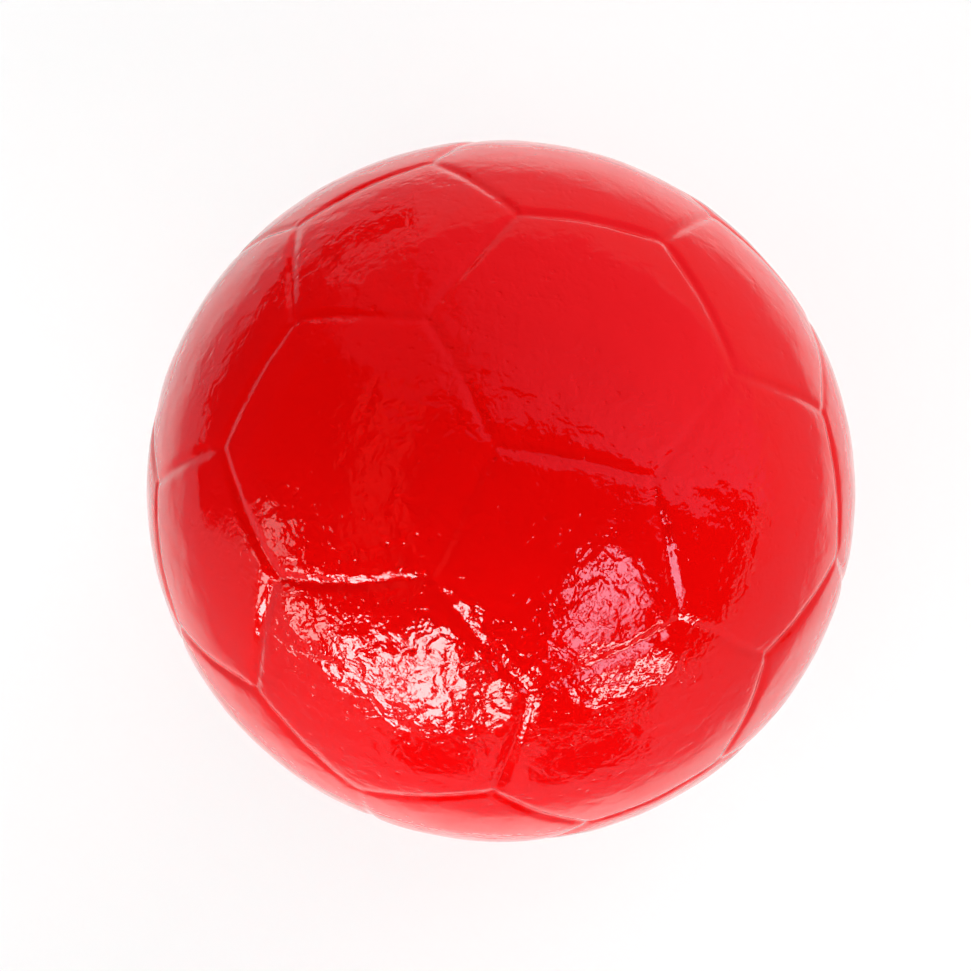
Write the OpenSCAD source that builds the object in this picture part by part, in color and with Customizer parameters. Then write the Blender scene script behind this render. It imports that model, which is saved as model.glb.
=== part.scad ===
// Coated foam handball: a foam core with moulded panel grooves, closed by two coats of film.
// The origin is the centre of the ball, and +Z is up.

/* [Ball] */
// Diameter over the panels
ball_d = 160; // [140:1:190]
// Turn of the panel pattern about X, Y and Z, from a seam that crosses the +Z axis
pattern_turn = [-17.5, 3, 26]; // [-180:0.5:180]

/* [Coats] */
// Thickness of the red coat
colour_coat_t = 0.4; // [0.2:0.1:0.8]
// Thickness of the coat that closes the pores of the foam
sealing_coat_t = 0.4; // [0.2:0.1:0.8]

/* [Panel grooves] */
// Width of a groove from lip to lip
groove_w = 4.6; // [4:0.2:6]
// Width of its floor
floor_w = 1.2; // [1:0.1:1.6]
// Depth of the floor below the panels
groove_depth = 0.6; // [0.4:0.1:1]

/* [Hidden] */
$fn = 72;

ball_r = ball_d / 2;
// How far a panel is let into the floor, so that the two join
panel_root = 0.2;

function unit(v) = v / norm(v);
function cycled(v, steps) = [for (axis = [0:2]) v[(axis + steps) % 3]];
function signs(x) = x == 0 ? [1] : [-1, 1];
function mirrored(v) = [for (x = signs(v.x), y = signs(v.y), z = signs(v.z)) [v.x * x, v.y * y, v.z * z]];

// A direction of the pattern, turned about X, then Y, then Z
function about_x(v, a) = [v.x, v.y * cos(a) - v.z * sin(a), v.y * sin(a) + v.z * cos(a)];
function about_y(v, a) = [v.x * cos(a) + v.z * sin(a), v.y, v.z * cos(a) - v.x * sin(a)];
function about_z(v, a) = [v.x * cos(a) - v.y * sin(a), v.x * sin(a) + v.y * cos(a), v.z];
function turned(v) = about_z(about_y(about_x(v, pattern_turn.x), pattern_turn.y), pattern_turn.z);

// Directions to the middles of the panels: 12 pentagons among 20 hexagons, as on a football
golden = (1 + sqrt(5)) / 2;
pentagons = [for (v = mirrored([0, 1, golden]), steps = [0:2]) turned(unit(cycled(v, steps)))];
hexagons = concat(
    [for (v = mirrored([golden, 1 / golden, 0]), steps = [0:2]) turned(unit(cycled(v, steps)))],
    [for (v = mirrored([1, 1, 1])) turned(unit(v))]
);

// Angle at the ball's centre from the middle of a panel to the middle of its side; all seams are one length
half_seam = 1 / norm([0, 1, 3 * golden]);
function side_angle(count) =
    let (to_side = half_seam / tan(180 / count), to_corner = half_seam / sin(180 / count))
    atan(to_side / sqrt(1 - to_corner ^ 2));

// The side of a panel is part of a sphere centred on the seam's axis, so a groove keeps its width
side_centre = (ball_r ^ 2 - (ball_r - groove_depth) ^ 2) / (groove_w - floor_w);
side_r = sqrt(ball_r ^ 2 - groove_w * side_centre + side_centre ^ 2);

// A panel is made tilted up from -X, which keeps its sides clear of the spheres' poles and meridians
make_tilt = 20;
make_middle = about_y([-1, 0, 0], make_tilt);

// The round piece of the ball's outer layer that a panel is cut from, and its reach in degrees
blank_reach = 30;
module blank(inset) {
    intersection() {
        difference() {
            sphere(r = ball_r - inset);
            sphere(r = ball_r - groove_depth - panel_root - inset);
        }
        translate(make_middle * ball_r) sphere(r = 2 * ball_r * sin(blank_reach / 2));
    }
}

// The sphere that shapes one side of a panel
module side_sphere(count, side, inset) {
    lean = side_angle(count);
    spin = 360 * side / count;
    inward = about_y([-sin(lean), -cos(lean) * cos(spin), -cos(lean) * sin(spin)], make_tilt);
    translate(inward * side_centre) sphere(r = side_r - inset);
}

// One raised panel with its middle on -X, every surface moved inwards by the inset
module raised_panel(count, inset) {
    rotate([0, -make_tilt, 0])
        intersection_for (side = [0:count])
            if (side == 0) blank(inset);
            else side_sphere(count, side, inset);
}

// Turns what is made on -X to a panel's place, with one side facing a neighbour of the other kind
neighbour_reach = 40;
module at_panel(middle, others) {
    neighbour = [for (other = others) if (other * middle > cos(neighbour_reach)) other][0];
    across = unit(neighbour - (neighbour * middle) * middle);
    up = cross(-middle, across);
    multmatrix([for (axis = [0:2]) [-middle[axis], across[axis], up[axis], 0]]) children();
}

// The ball with its grooves, every surface moved inwards by the inset
module relief_ball(inset) {
    sphere(r = ball_r - groove_depth - inset);
    for (middle = pentagons) at_panel(middle, hexagons) raised_panel(5, inset);
    for (middle = hexagons) at_panel(middle, pentagons) raised_panel(6, inset);
}

// Film between two insets of the ball
module coat(from, thickness) {
    difference() {
        relief_ball(from);
        relief_ball(from + thickness);
    }
}

module foam_core() { color("ivory") relief_ball(colour_coat_t + sealing_coat_t); }
module sealing_coat() { color("lightgray") coat(colour_coat_t, sealing_coat_t); }
module colour_coat() { color("crimson") coat(0, colour_coat_t); }

foam_core();
sealing_coat();
colour_coat();
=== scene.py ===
import math
import bpy
import numpy as np
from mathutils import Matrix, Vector


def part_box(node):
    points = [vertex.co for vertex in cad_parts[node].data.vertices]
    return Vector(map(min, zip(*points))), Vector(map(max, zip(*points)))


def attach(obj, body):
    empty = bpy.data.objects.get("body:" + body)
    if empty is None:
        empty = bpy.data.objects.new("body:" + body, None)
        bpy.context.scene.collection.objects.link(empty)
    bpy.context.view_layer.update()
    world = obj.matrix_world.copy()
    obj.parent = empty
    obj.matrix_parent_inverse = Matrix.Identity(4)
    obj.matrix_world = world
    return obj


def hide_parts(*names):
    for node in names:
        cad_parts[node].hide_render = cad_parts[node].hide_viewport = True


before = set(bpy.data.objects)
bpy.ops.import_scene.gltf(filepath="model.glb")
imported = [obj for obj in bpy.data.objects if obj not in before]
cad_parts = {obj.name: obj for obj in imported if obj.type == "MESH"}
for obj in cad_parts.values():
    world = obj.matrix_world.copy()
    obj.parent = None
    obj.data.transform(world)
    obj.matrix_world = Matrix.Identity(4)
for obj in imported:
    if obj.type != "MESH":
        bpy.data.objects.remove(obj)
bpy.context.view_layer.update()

mm = 0.001
ballLow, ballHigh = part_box("colour_coat")
ballRadius = (ballHigh.z - ballLow.z) / 2
print("ball radius from the solids, mm:", round(ballRadius / mm, 2))

# Camera straight above the ball, image right is +X and image up is +Y
photoCamera = {
    "framePixels": 971,
    "ballCentrePixel": (501.0, 490.9),
    "ballRadiusPixels": 352.6,
    "distanceInRadii": 8.8,
    "sensorWidth": 36.0,
}


def addCamera(view):
    frameSize = view["framePixels"]
    distance = view["distanceInRadii"]
    focalPixels = view["ballRadiusPixels"] * math.sqrt(distance ** 2 - 1)
    cameraData = bpy.data.cameras.new("photoCamera")
    cameraData.sensor_width = view["sensorWidth"]
    cameraData.lens = focalPixels * view["sensorWidth"] / frameSize
    cameraData.shift_x = (frameSize / 2 - view["ballCentrePixel"][0]) / frameSize
    cameraData.shift_y = (view["ballCentrePixel"][1] - frameSize / 2) / frameSize
    camera = bpy.data.objects.new("photoCamera", cameraData)
    camera.location = (0, 0, distance * ballRadius)
    bpy.context.scene.collection.objects.link(camera)
    bpy.context.scene.camera = camera


addCamera(photoCamera)
print("camera placed")

# Panel pattern: 12 pentagons among 20 hexagons, turned as the solids are
panelPattern = {
    "turn": (-17.5, 3.0, 26.0),  # degrees about X, then Y, then Z
    "grooveDepth": 0.5 * mm,
    "grooveHalfWidth": 1.35 * mm,
    "shoulderDepth": 0.1 * mm,  # soft roll of the panel edges beside a groove
    "shoulderHalfWidth": 4.5 * mm,
    "cornerFill": 0.3,  # film pools where three grooves meet
    "cornerReach": 5 * mm,
    "depthChange": 0.25,  # grooves come out of the mould a little uneven
    "depthWaves": (40 * mm, 90 * mm, 12, 3),  # shortest, longest, count and seed of that change
    "joinSharpness": 4,
    "seamReach": 0.93,  # cosine of the angle from a seam's middle at which its groove is no longer felt
}

# How far grooves of this ball stray from the even pattern, on its upper half: place and push, mm along
# X and Y
seamDrift = {
    "reach": 15 * mm,
    "pushes": [
        ((42, -30), (3, 0)),
        ((-52, -19), (-2.5, 2)),
        ((-17, 40), (-1.5, -1.5)),
        ((-1, 11), (-1.5, 0)),
        ((61, -37), (1, 1.5)),
        ((-63, 10), (0.5, 1.5)),
        ((-16, -20), (1, 1)),
        ((53, 27), (0, -1.5)),
        ((35, 3), (-0.5, -1.5)),
    ],
}

# Where grooves of this ball came out shallow, on its upper half: place, mm along X and Y, and share of
# the depth lost
seamShallows = {
    "reach": 14 * mm,
    "places": [((43, 15), 0.8), ((29, 7), 0.35), ((-8, -3), 0.5)],
}

# Where the film ran before it set and ripples more, on the upper half: place, mm along X and Y, and
# share added
filmRuns = {
    "reach": 30 * mm,
    "places": [((-22, -42), 2.6), ((27, -32), 2.2), ((4, 20), 1.5), ((-30, 3), 1.9), ((-32, 50), 0.9),
               ((52, 4), 0.7)],
}

# Unevenness of the foam under the film
foamSwell = {
    "height": 0.05 * mm,
    "waves": (9 * mm, 26 * mm, 48, 11),  # shortest, longest, count and seed
    "ovality": 0.0055,
    "longAxis": -14.0,  # degrees from +X, seen from above
}


def unit(rows):
    return rows / np.linalg.norm(rows, axis=-1, keepdims=True)


def turnMatrix(degrees):
    x, y, z = np.radians(degrees)
    aboutX = np.array([[1, 0, 0], [0, np.cos(x), -np.sin(x)], [0, np.sin(x), np.cos(x)]])
    aboutY = np.array([[np.cos(y), 0, np.sin(y)], [0, 1, 0], [-np.sin(y), 0, np.cos(y)]])
    aboutZ = np.array([[np.cos(z), -np.sin(z), 0], [np.sin(z), np.cos(z), 0], [0, 0, 1]])
    return aboutZ @ aboutY @ aboutX


def pentagonMiddles():
    golden = (1 + math.sqrt(5)) / 2
    base = [(0, y, z * golden) for y in (-1, 1) for z in (-1, 1)]
    points = [np.roll(p, steps) for p in base for steps in range(3)]
    return unit(np.array(points)) @ turnMatrix(panelPattern["turn"]).T


def inOrder(middle, points):
    side = unit(points[0] - middle * (points[0] @ middle))
    other = np.cross(middle, side)
    angles = [math.atan2(p @ other, p @ side) for p in points]
    return [points[i] for i in np.argsort(angles)]


# Each panel as its middle and its corners, and each seam as its two corners
def panelsAndSeams():
    middles = pentagonMiddles()
    # Neighbouring pentagons are 63.4 degrees apart, a cosine of 0.447
    near = [[j for j in range(12) if 0.4 < middles[i] @ middles[j] < 0.5] for i in range(12)]
    panels, seams = [], []
    for i in range(12):
        corners = inOrder(middles[i], [unit(2 * middles[i] + middles[j]) for j in near[i]])
        panels.append((middles[i], corners))
        seams += [(corners[k - 1], corners[k]) for k in range(5)]
        for j in near[i]:
            if j > i:
                seams.append((unit(2 * middles[i] + middles[j]), unit(middles[i] + 2 * middles[j])))
            for k in near[i]:
                if i < j < k and k in near[j]:
                    trio = [middles[i], middles[j], middles[k]]
                    middle = unit(sum(trio))
                    points = [unit(2 * a + b) for a in trio for b in trio if a is not b]
                    panels.append((middle, inOrder(middle, points)))
    return panels, seams


panels, seams = panelsAndSeams()
print("panels:", len(panels), "seams:", len(seams))


# Sum of seeded waves over the ball, about 1 high
def waves(directions, shortest, longest, count, seed):
    random = np.random.default_rng(seed)
    total = np.zeros(len(directions))
    for _ in range(count):
        heading = unit(random.normal(size=3))
        length = random.uniform(shortest, longest)
        turns = 2 * np.pi * ballRadius / length
        total += np.sin(directions @ heading * turns + random.uniform(0, 2 * np.pi))
    return total / math.sqrt(count / 2)


# How near each direction is to a place on the upper half, 1 at the place itself
def nearness(directions, place, reach):
    x, y = place[0] * mm, place[1] * mm
    middle = np.array([x, y, math.sqrt(ballRadius ** 2 - x ** 2 - y ** 2)])
    gap = np.linalg.norm(directions * ballRadius - middle, axis=1)
    return np.exp(-(gap / reach) ** 2)


# Depth of the grooves at each direction, in metres
def grooveDepth(directions):
    shape = panelPattern
    total = np.zeros(len(directions))
    for first, second in seams:
        middle = unit(first + second)
        along = unit(second - first)
        across = np.cross(middle, along)
        near = np.flatnonzero(directions @ middle > shape["seamReach"])
        spots = directions[near]
        aside = np.arcsin(spots @ across) * ballRadius
        run = np.abs(np.arctan2(spots @ along, spots @ middle)) * ballRadius
        toEnd = math.acos(first @ middle) * ballRadius - run
        gap = np.hypot(aside, np.maximum(-toEnd, 0))
        fill = 1 - shape["cornerFill"] * np.exp(-(np.maximum(toEnd, 0) / shape["cornerReach"]) ** 2)
        valley = shape["grooveDepth"] * np.exp(-(gap / shape["grooveHalfWidth"]) ** 2) * fill
        valley += shape["shoulderDepth"] * np.exp(-(gap / shape["shoulderHalfWidth"]) ** 2)
        total[near] += valley ** shape["joinSharpness"]
    depth = total ** (1 / shape["joinSharpness"])
    depth *= 1 + shape["depthChange"] * waves(directions, *shape["depthWaves"])
    for place, lost in seamShallows["places"]:
        depth *= 1 - lost * nearness(directions, place, seamShallows["reach"])
    return depth


weldFineness = 1e6  # directions that are the same to this share are one point


# Welded grid over the ball: each panel corner gets a four-sided patch, finer towards the seams
def skinGrid(cells, edgePull=2.0):
    ramp = (np.exp(edgePull * np.linspace(0, 1, cells + 1)) - 1) / (math.exp(edgePull) - 1)
    s, t = [g.reshape(-1, 1) for g in np.meshgrid(ramp, ramp, indexing="ij")]
    step = cells + 1
    cell = np.array([[i * step + j, (i + 1) * step + j, (i + 1) * step + j + 1, i * step + j + 1]
                     for i in range(cells) for j in range(cells)])
    points, quads = [], []
    for middle, corners in panels:
        count = len(corners)
        for k in range(count):
            corner = corners[k]
            after = (corner + corners[(k + 1) % count]) / 2
            before = (corner + corners[k - 1]) / 2
            quads.append(cell + len(points) * step * step)
            points.append((1 - s) * (1 - t) * corner + s * (1 - t) * after
                          + s * t * middle + (1 - s) * t * before)
    directions = unit(np.concatenate(points))
    keys = np.round(directions * weldFineness).astype(np.int64)
    unused, firsts, places = np.unique(keys, axis=0, return_index=True, return_inverse=True)
    return directions[firsts], places.reshape(-1)[np.concatenate(quads)]


# Directions after the grooves' drift
def drifted(directions):
    moved = directions.copy()
    for place, push in seamDrift["pushes"]:
        share = nearness(directions, place, seamDrift["reach"])
        moved += share[:, None] * np.array([push[0] * mm, push[1] * mm, 0]) / ballRadius
    return unit(moved)


# Surface of the ball at an inset below the red film, with the depth of its grooves
def ballSurface(cells, inset):
    directions, quads = skinGrid(cells)
    depth = grooveDepth(directions)
    directions = drifted(directions)
    angle = math.radians(foamSwell["longAxis"])
    longWay = directions @ np.array([math.cos(angle), math.sin(angle), 0])
    shortWay = directions @ np.array([-math.sin(angle), math.cos(angle), 0])
    oval = foamSwell["ovality"] * (longWay ** 2 - shortWay ** 2)
    swell = foamSwell["height"] * waves(directions, *foamSwell["waves"])
    radius = ballRadius * (1 + oval) - depth + swell - inset
    return directions * radius[:, None], quads, depth


# A piece from one surface, or from two that enclose a film
def addSkin(name, surfaces):
    points, quads, grooves, runs = [], [], [], []
    for number, (cells, inset) in enumerate(surfaces):
        places, faces, depth = ballSurface(cells, inset)
        faces = faces[:, ::-1] if number else faces
        quads.append(faces + sum(len(p) for p in points))
        points.append(places)
        grooves.append(depth / panelPattern["grooveDepth"])
        runs.append(1 + sum(share * nearness(unit(places), place, filmRuns["reach"])
                            for place, share in filmRuns["places"]))
    mesh = bpy.data.meshes.new(name)
    mesh.from_pydata(np.concatenate(points).tolist(), [], np.concatenate(quads).tolist())
    for label, values in (("groove", grooves), ("run", runs)):
        field = mesh.attributes.new(label, "FLOAT", "POINT")
        field.data.foreach_set("value", np.concatenate(values).astype(np.float32))
    mesh.shade_smooth()
    piece = bpy.data.objects.new(name, mesh)
    bpy.context.scene.collection.objects.link(piece)
    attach(piece, "root")
    print(name, "faces:", len(mesh.polygons))
    return piece


# Node helpers
def addNode(tree, kind, **settings):
    node = tree.nodes.new(kind)
    for name, value in settings.items():
        setattr(node, name, value)
    return node


def feed(tree, target, value):
    if isinstance(value, bpy.types.NodeSocket):
        tree.links.new(value, target)
    else:
        target.default_value = value


def maths(tree, operation, first, second=0.0):
    node = addNode(tree, "ShaderNodeMath", operation=operation)
    feed(tree, node.inputs[0], first)
    feed(tree, node.inputs[1], second)
    return node.outputs[0]


def spread(tree, value, fromLow, fromHigh, toLow, toHigh):
    node = addNode(tree, "ShaderNodeMapRange", interpolation_type="SMOOTHSTEP")
    for place, number in zip(node.inputs[:5], (value, fromLow, fromHigh, toLow, toHigh)):
        feed(tree, place, number)
    return node.outputs[0]


def blendColours(tree, factor, first, second):
    node = addNode(tree, "ShaderNodeMix", data_type="RGBA")
    feed(tree, node.inputs[0], factor)
    feed(tree, node.inputs[6], first)
    feed(tree, node.inputs[7], second)
    return node.outputs[2]


def noiseField(tree, where, scale, detail, distortion=0.0):
    node = addNode(tree, "ShaderNodeTexNoise")
    tree.links.new(where, node.inputs["Vector"])
    feed(tree, node.inputs["Scale"], scale)
    node.inputs["Detail"].default_value = detail
    node.inputs["Distortion"].default_value = distortion
    return node.outputs["Fac"]


# Most values of a noise lie in the first range, and nearly all in the second
noiseCore = (0.35, 0.65)
noiseReach = (0.3, 0.7)

# What the wrinkles of all films share
wrinkleForm = {
    "layers": {"Ripple": (2.0, 0.4), "Grain": (1.0, 0.6), "Swell": (1.0, 0.0)},  # detail and distortion
    "patches": (0.8, 1.3),  # strength in a calm patch and in a lively one
    "speckSize": 0.05,  # share of the cell that it lies in
    "pitSize": 0.22,
}


# Wrinkle of a sprayed film over foam, as a height in metres: ripple, grain, swell, pits where the film sank
# into the cells of the foam, and a few specks under the skin
def filmWrinkleGroup():
    group = bpy.data.node_groups.new("filmWrinkle", "ShaderNodeTree")
    for layer in ("Ripple", "Grain", "Swell", "Pit", "Speck"):
        for measure in ("Scale", "Height"):
            group.interface.new_socket(
                name=f"{layer} {measure}", in_out="INPUT", socket_type="NodeSocketFloat")
    for name in ("Patch Scale", "Cloud Scale"):
        group.interface.new_socket(name=name, in_out="INPUT", socket_type="NodeSocketFloat")
    for name in ("Height", "Cloud"):
        group.interface.new_socket(name=name, in_out="OUTPUT", socket_type="NodeSocketFloat")
    given = addNode(group, "NodeGroupInput").outputs
    result = addNode(group, "NodeGroupOutput").inputs
    where = addNode(group, "ShaderNodeTexCoord").outputs["Object"]
    specks = addNode(group, "ShaderNodeTexVoronoi")
    group.links.new(where, specks.inputs["Vector"])
    group.links.new(given["Speck Scale"], specks.inputs["Scale"])
    speck = spread(group, specks.outputs["Distance"], 0.0, wrinkleForm["speckSize"], 1.0, 0.0)
    height = maths(group, "MULTIPLY", speck, given["Speck Height"])
    patchwork = noiseField(group, where, given["Patch Scale"], 1.0)
    patches = spread(group, patchwork, *noiseCore, *wrinkleForm["patches"])
    for layer, (detail, distortion) in wrinkleForm["layers"].items():
        field = noiseField(group, where, given[f"{layer} Scale"], detail, distortion)
        rise = maths(group, "SUBTRACT", field, 0.5)
        lift = maths(group, "MULTIPLY", rise, given[f"{layer} Height"])
        height = maths(group, "ADD", height, maths(group, "MULTIPLY", lift, patches))
        ragged = rise if layer == "Ripple" else ragged
    pits = addNode(group, "ShaderNodeTexVoronoi")
    group.links.new(where, pits.inputs["Vector"])
    group.links.new(given["Pit Scale"], pits.inputs["Scale"])
    rim = maths(group, "ADD", pits.outputs["Distance"], ragged)
    pit = spread(group, rim, 0.0, wrinkleForm["pitSize"], -1.0, 0.0)
    sunk = maths(group, "MULTIPLY", pit, given["Pit Height"])
    height = maths(group, "ADD", height, maths(group, "MULTIPLY", sunk, patches))
    group.links.new(height, result["Height"])
    group.links.new(noiseField(group, where, given["Cloud Scale"], 3.0), result["Cloud"])
    return group


filmWrinkle = filmWrinkleGroup()

# Shares of a groove's depth between which the film starts to pool, and between which its wrinkle calms
poolReach = (0.25, 1.0)
calmReach = (0.2, 0.8)


# A film's material: its colour, deeper where it pools in the grooves, its gloss and its wrinkle
def filmMaterial(name, film):
    material = bpy.data.materials.new(name)
    material.use_nodes = True
    tree = material.node_tree
    shader = tree.nodes["Principled BSDF"]
    wrinkle = addNode(tree, "ShaderNodeGroup", node_tree=filmWrinkle)
    for socket, value in film["wrinkle"].items():
        wrinkle.inputs[socket].default_value = value
    groove = addNode(tree, "ShaderNodeAttribute", attribute_name="groove").outputs["Fac"]
    pooled = spread(tree, groove, *poolReach, 0.0, film["pooling"])
    cloud = wrinkle.outputs["Cloud"]
    cloudy = spread(tree, cloud, *noiseReach, 0.0, film["cloudiness"])
    colour = blendColours(tree, cloudy, (*film["colour"], 1), (*film["deepColour"], 1))
    colour = blendColours(tree, pooled, colour, (*film["deepColour"], 1))
    tree.links.new(colour, shader.inputs["Base Color"])
    tree.links.new(spread(tree, cloud, *noiseReach, *film["roughness"]), shader.inputs["Roughness"])
    bump = addNode(tree, "ShaderNodeBump")
    bump.inputs["Strength"].default_value = 1.0
    bump.inputs["Distance"].default_value = 1.0
    calm = spread(tree, groove, *calmReach, 1.0, film["grooveCalm"])
    run = addNode(tree, "ShaderNodeAttribute", attribute_name="run").outputs["Fac"]
    height = maths(tree, "MULTIPLY", wrinkle.outputs["Height"], maths(tree, "MULTIPLY", run, calm))
    tree.links.new(height, bump.inputs["Height"])
    tree.links.new(bump.outputs["Normal"], shader.inputs["Normal"])
    shader.inputs["IOR"].default_value = film["ior"]
    shader.inputs["Specular IOR Level"].default_value = film["specularLevel"]
    return material


# Red film outside, the piece that shows
redFilm = {
    "thickness": 0.4 * mm,
    "outerCells": 21,
    "innerCells": 9,
    "colour": (0.70, 0.0009, 0.0006),
    "deepColour": (0.60, 0.0004, 0.0004),
    "pooling": 0.1,
    "grooveCalm": 1.0,  # share of the wrinkle that is left where the film pools
    "cloudiness": 0.25,
    "roughness": (0.05, 0.09),
    "ior": 1.5,
    "specularLevel": 0.5,
    "wrinkle": {
        "Ripple Scale": 245.0, "Ripple Height": 0.125 * mm,
        "Grain Scale": 700.0, "Grain Height": 0.02 * mm,
        "Swell Scale": 140.0, "Swell Height": 0.1 * mm,
        "Pit Scale": 450.0, "Pit Height": 0.019 * mm,
        "Speck Scale": 60.0, "Speck Height": 0.019 * mm,
        "Patch Scale": 40.0, "Cloud Scale": 30.0,
    },
}

redSkin = addSkin("redSkin", [(redFilm["outerCells"], 0.0), (redFilm["innerCells"], redFilm["thickness"])])
redSkin.data.materials.append(filmMaterial("redFilm", redFilm))
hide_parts("colour_coat")
print("red film made")

# Pale film under it, which closes the pores of the foam
sealingFilm = {
    "gap": 0.02 * mm,  # clear of the films on both sides
    "thickness": 0.36 * mm,
    "cells": 11,
    "colour": (0.82, 0.80, 0.76),
    "deepColour": (0.74, 0.71, 0.65),
    "pooling": 0.6,
    "grooveCalm": 0.7,
    "cloudiness": 0.5,
    "roughness": (0.35, 0.5),
    "ior": 1.48,
    "specularLevel": 0.5,
    "wrinkle": {
        "Ripple Scale": 700.0, "Ripple Height": 0.08 * mm,
        "Grain Scale": 1500.0, "Grain Height": 0.03 * mm,
        "Swell Scale": 240.0, "Swell Height": 0.1 * mm,
        "Pit Scale": 900.0, "Pit Height": 0.06 * mm,
        "Speck Scale": 180.0, "Speck Height": 0.06 * mm,
        "Patch Scale": 40.0, "Cloud Scale": 30.0,
    },
}

sealerTop = redFilm["thickness"] + sealingFilm["gap"]
sealerBase = sealerTop + sealingFilm["thickness"]
sealingSkin = addSkin("sealingSkin", [(sealingFilm["cells"], sealerTop), (sealingFilm["cells"], sealerBase)])
sealingSkin.data.materials.append(filmMaterial("sealingFilm", sealingFilm))
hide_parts("sealing_coat")
print("sealing film made")

# Foam ball inside
foamCore = {
    "gap": 0.02 * mm,
    "cells": 14,
    "colour": (0.88, 0.82, 0.66),
    "poreColour": (0.62, 0.52, 0.34),
    "cellScale": 900.0,  # cells of about a millimetre
    "cellHeight": 0.25 * mm,
    "cellSmoothness": 0.3,
    "poreReach": (0.1, 0.55),  # share of a cell that is open pore, and where its wall begins
    "mottleScale": 60.0,
    "mottle": 0.3,  # how far the pores' colour spreads in patches
    "roughness": 0.92,
}


def foamMaterial(foam):
    material = bpy.data.materials.new("openCellFoam")
    material.use_nodes = True
    tree = material.node_tree
    shader = tree.nodes["Principled BSDF"]
    where = addNode(tree, "ShaderNodeTexCoord").outputs["Object"]
    cells = addNode(tree, "ShaderNodeTexVoronoi", feature="SMOOTH_F1")
    tree.links.new(where, cells.inputs["Vector"])
    cells.inputs["Scale"].default_value = foam["cellScale"]
    cells.inputs["Smoothness"].default_value = foam["cellSmoothness"]
    pore = spread(tree, cells.outputs["Distance"], *foam["poreReach"], 1.0, 0.0)
    patches = noiseField(tree, where, foam["mottleScale"], 3.0)
    mottled = spread(tree, patches, *noiseCore, 0.0, foam["mottle"])
    colour = blendColours(tree, pore, (*foam["colour"], 1), (*foam["poreColour"], 1))
    colour = blendColours(tree, mottled, colour, (*foam["poreColour"], 1))
    tree.links.new(colour, shader.inputs["Base Color"])
    shader.inputs["Roughness"].default_value = foam["roughness"]
    bump = addNode(tree, "ShaderNodeBump", invert=True)
    bump.inputs["Distance"].default_value = foam["cellHeight"]
    tree.links.new(pore, bump.inputs["Height"])
    tree.links.new(bump.outputs["Normal"], shader.inputs["Normal"])
    return material


foamBall = addSkin("foamBall", [(foamCore["cells"], sealerBase + foamCore["gap"])])
foamBall.data.materials.append(foamMaterial(foamCore))
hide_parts("foam_core")
print("foam ball made")

# Stage: pale floor with a painted pool of light round the ball, window-like soft lights to the front, pale
# boards behind, dim room above
studio = {
    "floorSize": 60.0,
    "floorColour": (0.95, 0.95, 0.95),
    # Colour of the floor far from the ball: painted shade, greyer than the floor near it
    "farFloorPaintedShade": (0.34, 0.32, 0.37),
    "paintedLightPoolReach": (0.18, 0.26),  # painted pool of light: the floor colour is palest this near the ball, and darkens to painted shade by here
    "floorGlow": 0.7,  # share of plain white in what the eye and the gloss see of the floor
    "shadowReach": (0.02, 0.095),  # the shadow where the ball stands is whole to here, and paler from here
    "roomGlow": (0.012, 0.012, 0.014),
    "horizonGlow": (0.85, 0.85, 0.86),
    "horizonTop": 0.06,  # sine of the elevation where the pale band ends
}

# Bearing in degrees from +X, seen from above, and elevation, of each light's left, right, foot and head
windowLights = {
    "leftPane": {"bearings": (-135, -121), "elevations": (9, 25), "glow": 16.0,
                 "tint": (1.0, 0.98, 0.98)},
    "tallPane": {"bearings": (-119, -103), "elevations": (9, 42), "panes": 2, "glow": 16.0,
                 "tint": (1.0, 0.98, 0.98)},
    "middlePane": {"bearings": (-95, -85), "elevations": (13, 28), "glow": 14.0,
                   "tint": (1.0, 0.99, 0.96)},
    "sidePane": {"bearings": (-154, -142), "elevations": (6, 19), "glow": 7.0,
                 "tint": (1.0, 0.99, 0.95)},
    "farPane": {"bearings": (-174, -159), "elevations": (6, 19), "glow": 2.2,
                "tint": (1.0, 0.99, 0.95)},
    "rightPane": {"bearings": (-69, -52), "elevations": (30, 48), "wall": -5, "glow": 6.0,
                  "tint": (1.0, 0.86, 1.12)},
    "rightHighPane": {"bearings": (-51, -33), "elevations": (35, 53), "wall": -5, "glow": 6.4,
                      "tint": (1.0, 0.86, 1.12)},
    "rightLowPane": {"bearings": (-60, -33), "elevations": (28.5, 34), "wall": -5, "glow": 3.8,
                     "tint": (1.0, 0.86, 1.12)},
    "rightSill": {"bearings": (-68, -42), "elevations": (13, 18), "wall": -100, "glow": 15.0,
                  "tint": (1.0, 0.97, 0.95)},
}
windowDistance = 2.2
barShare = 0.14  # share of a pane's width and height that its bars take

# Soft light from all round, which leaves no highlight
softFills = {
    "overheadFill": {"bearing": 90, "elevation": 83, "size": (2.4, 2.4), "glow": 1.85},
    "rearFill": {"bearing": 58, "elevation": 15, "size": (2.2, 1.25), "glow": 7.5},
    "leftFill": {"bearing": 198, "elevation": 15, "size": (2.2, 1.25), "glow": 4.4},
    "rightFill": {"bearing": -60, "elevation": 15, "size": (2.2, 1.25), "glow": 6.6},
    "frontFill": {"bearing": -115, "elevation": 15, "size": (2.2, 1.25), "glow": 3.2},
}
fillDistance = 2.5

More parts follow.
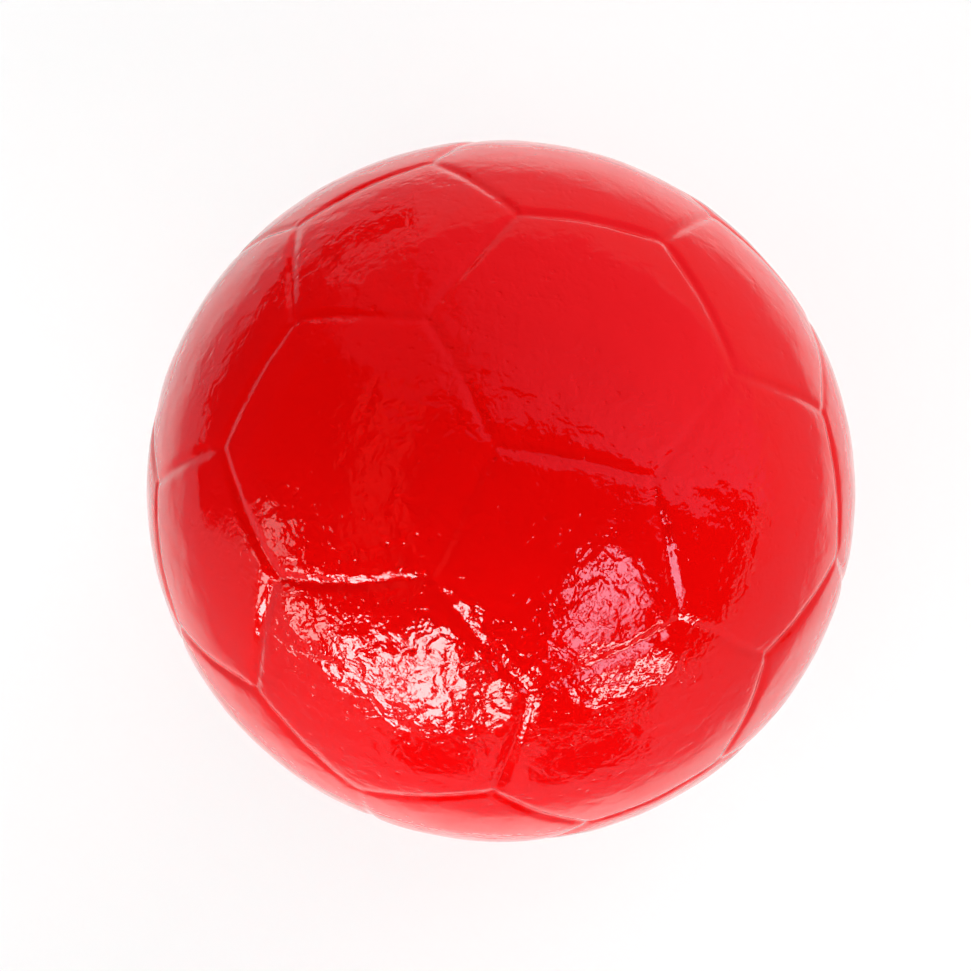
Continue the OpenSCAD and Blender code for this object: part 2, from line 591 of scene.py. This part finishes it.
# Boards that only the gloss shows: pale ones behind the ball, a faint red one high on its left,
# and low dark ones close by
darkGlow = (0.03, 0.02, 0.03)
boards = {
    "rearBoard": {"distance": 2.2, "bearings": (-2, 110), "elevations": (-2, 67), "wall": 66,
                  "glow": (0.60, 0.45, 0.67), "endGlow": (0.16, 0.12, 0.18)},
    "sideBoard": {"distance": 2.2, "bearings": (112, 137), "elevations": (-2, 54),
                  "glow": (0.12, 0.09, 0.12)},
    "highBoard": {"distance": 2.2, "bearings": (137, 212), "elevations": (44, 57),
                  "glow": (1.5, 0.11, 0.09)},
    "darkBoard": {"distance": 0.36, "bearings": (128, 187), "elevations": (-12, 17), "glow": darkGlow},
    "lowBoard": {"distance": 0.36, "bearings": (108, 128), "elevations": (-12, -2), "glow": darkGlow},
    "frontBoard": {"distance": 0.48, "bearings": (-111, -95), "elevations": (-9, 7), "glow": darkGlow},
    "nearBoard": {"distance": 0.42, "bearings": (-83, -62), "elevations": (-10.5, 7), "glow": darkGlow},
}


# Upright rectangle that covers these bearings, and these elevations at its middle, as seen from the ball;
# it faces the ball, or stands in a wall whose normal has its own bearing
def uprightPlace(distance, bearings, elevations, wall=None):
    middle = sum(bearings) / 2
    wall = middle if wall is None else wall
    outward = Vector((math.cos(math.radians(wall)), math.sin(math.radians(wall)), 0))
    start, end = [distance * math.tan(math.radians(b - wall)) for b in bearings]
    reach = distance / math.cos(math.radians(middle - wall))
    foot, head = [reach * math.tan(math.radians(e)) for e in elevations]
    aside = Vector((0, 0, 1)).cross(outward)
    place = outward * distance + aside * ((start + end) / 2) + Vector((0, 0, (foot + head) / 2))
    return place, outward, end - start, head - foot


def addSoftLight(name, place, facing, width, height, glow):
    lamp = bpy.data.lights.new(name, "AREA")
    lamp.shape = "RECTANGLE"
    lamp.size, lamp.size_y = width, height
    lamp.energy = glow * math.pi * width * height  # watts for this brightness
    light = bpy.data.objects.new(name, lamp)
    light.location = place
    light.rotation_euler = facing.to_track_quat("-Z", "Y").to_euler()
    light.visible_camera = False
    bpy.context.scene.collection.objects.link(light)
    return light


def addWindow(name, window):
    place, outward, width, height = uprightPlace(
        windowDistance, window["bearings"], window["elevations"], window.get("wall"))
    panes = window.get("panes", 1)  # one above another
    paneWidth = width * (1 - barShare)
    paneHeight = height / panes * (1 - barShare)
    for number in range(panes):
        middle = place + Vector((0, 0, height * ((number + 0.5) / panes - 0.5)))
        pane = addSoftLight(f"{name}{number}", middle, -outward, paneWidth, paneHeight, window["glow"])
        pane.data.color = window["tint"]
        pane.visible_diffuse = False


def addFill(name, fill):
    bearing, elevation = math.radians(fill["bearing"]), math.radians(fill["elevation"])
    level = math.cos(elevation)
    outward = Vector((math.cos(bearing) * level, math.sin(bearing) * level, math.sin(elevation)))
    light = addSoftLight(name, outward * fillDistance, -outward, *fill["size"], fill["glow"])
    light.data.cycles.use_multiple_importance_sampling = False
    light.visible_glossy = False


def addBoard(name, board):
    place, outward, width, height = uprightPlace(
        board["distance"], board["bearings"], board["elevations"], board.get("wall"))
    aside = Vector((0, 0, 1)).cross(outward) * (width / 2)
    up = Vector((0, 0, height / 2))
    mesh = bpy.data.meshes.new(name)
    corners = [place - aside - up, place + aside - up, place + aside + up, place - aside + up]
    mesh.from_pydata(corners, [], [(0, 1, 2, 3)])
    start, end = board["glow"], board.get("endGlow", board["glow"])
    field = mesh.attributes.new("glow", "FLOAT_COLOR", "POINT")
    for spot, colour in zip(field.data, (start, end, end, start)):
        spot.color = (*colour, 1)
    material = bpy.data.materials.new(name)
    material.use_nodes = True
    tree = material.node_tree
    tree.nodes.clear()
    glow = addNode(tree, "ShaderNodeEmission")
    shade = addNode(tree, "ShaderNodeAttribute", attribute_name="glow")
    tree.links.new(shade.outputs["Color"], glow.inputs["Color"])
    tree.links.new(glow.outputs[0], addNode(tree, "ShaderNodeOutputMaterial").inputs["Surface"])
    mesh.materials.append(material)
    card = bpy.data.objects.new(name, mesh)
    card.visible_camera = False
    card.visible_diffuse = False
    card.visible_shadow = False
    bpy.context.scene.collection.objects.link(card)


# The floor's colour and its white glow are graded by distance: a painted pool of light round the ball,
# fading to painted shade further out
def floorMaterial():
    material = bpy.data.materials.new("paleFloor")
    material.use_nodes = True
    tree = material.node_tree
    tree.nodes.clear()
    where = addNode(tree, "ShaderNodeTexCoord").outputs["Object"]
    reach = addNode(tree, "ShaderNodeVectorMath", operation="LENGTH")
    tree.links.new(where, reach.inputs[0])
    far = spread(tree, reach.outputs["Value"], *studio["paintedLightPoolReach"], 0.0, 1.0)
    colour = blendColours(tree, far, (*studio["floorColour"], 1), (*studio["farFloorPaintedShade"], 1))
    white = blendColours(tree, far, (1, 1, 1, 1), (*studio["farFloorPaintedShade"], 1))
    cloth = addNode(tree, "ShaderNodeBsdfDiffuse")
    tree.links.new(colour, cloth.inputs["Color"])
    glow = addNode(tree, "ShaderNodeEmission")
    tree.links.new(white, glow.inputs["Color"])
    path = addNode(tree, "ShaderNodeLightPath").outputs
    seen = maths(tree, "MAXIMUM", path["Is Camera Ray"], path["Is Glossy Ray"])
    seen = maths(tree, "MAXIMUM", seen, path["Is Transmission Ray"])
    both = addNode(tree, "ShaderNodeMixShader")
    share = spread(tree, reach.outputs["Value"], *studio["shadowReach"], 0.0, studio["floorGlow"])
    tree.links.new(maths(tree, "MULTIPLY", seen, share), both.inputs[0])
    tree.links.new(cloth.outputs[0], both.inputs[1])
    tree.links.new(glow.outputs[0], both.inputs[2])
    tree.links.new(both.outputs[0], addNode(tree, "ShaderNodeOutputMaterial").inputs["Surface"])
    return material


def addFloor():
    half = studio["floorSize"] / 2
    level = min(v.co.z for v in redSkin.data.vertices)
    mesh = bpy.data.meshes.new("paleFloor")
    corners = [(-half, -half, 0), (half, -half, 0), (half, half, 0), (-half, half, 0)]
    mesh.from_pydata(corners, [], [(0, 1, 2, 3)])
    mesh.materials.append(floorMaterial())
    floor = bpy.data.objects.new("paleFloor", mesh)
    floor.location.z = level
    bpy.context.scene.collection.objects.link(floor)


def setWorld():
    world = bpy.data.worlds.new("dimRoom")
    world.use_nodes = True
    bpy.context.scene.world = world
    tree = world.node_tree
    where = addNode(tree, "ShaderNodeTexCoord").outputs["Generated"]
    parts = addNode(tree, "ShaderNodeSeparateXYZ")
    tree.links.new(where, parts.inputs[0])
    band = spread(tree, parts.outputs["Z"], 0.0, studio["horizonTop"], 0.0, 1.0)
    colour = blendColours(tree, band, (*studio["horizonGlow"], 1), (*studio["roomGlow"], 1))
    tree.links.new(colour, tree.nodes["Background"].inputs["Color"])


for windowName, window in windowLights.items():
    addWindow(windowName, window)
for boardName, board in boards.items():
    addBoard(boardName, board)
for fillName, fill in softFills.items():
    addFill(fillName, fill)
addFloor()
setWorld()
bpy.context.scene.view_settings.view_transform = "Standard"
print("stage made")
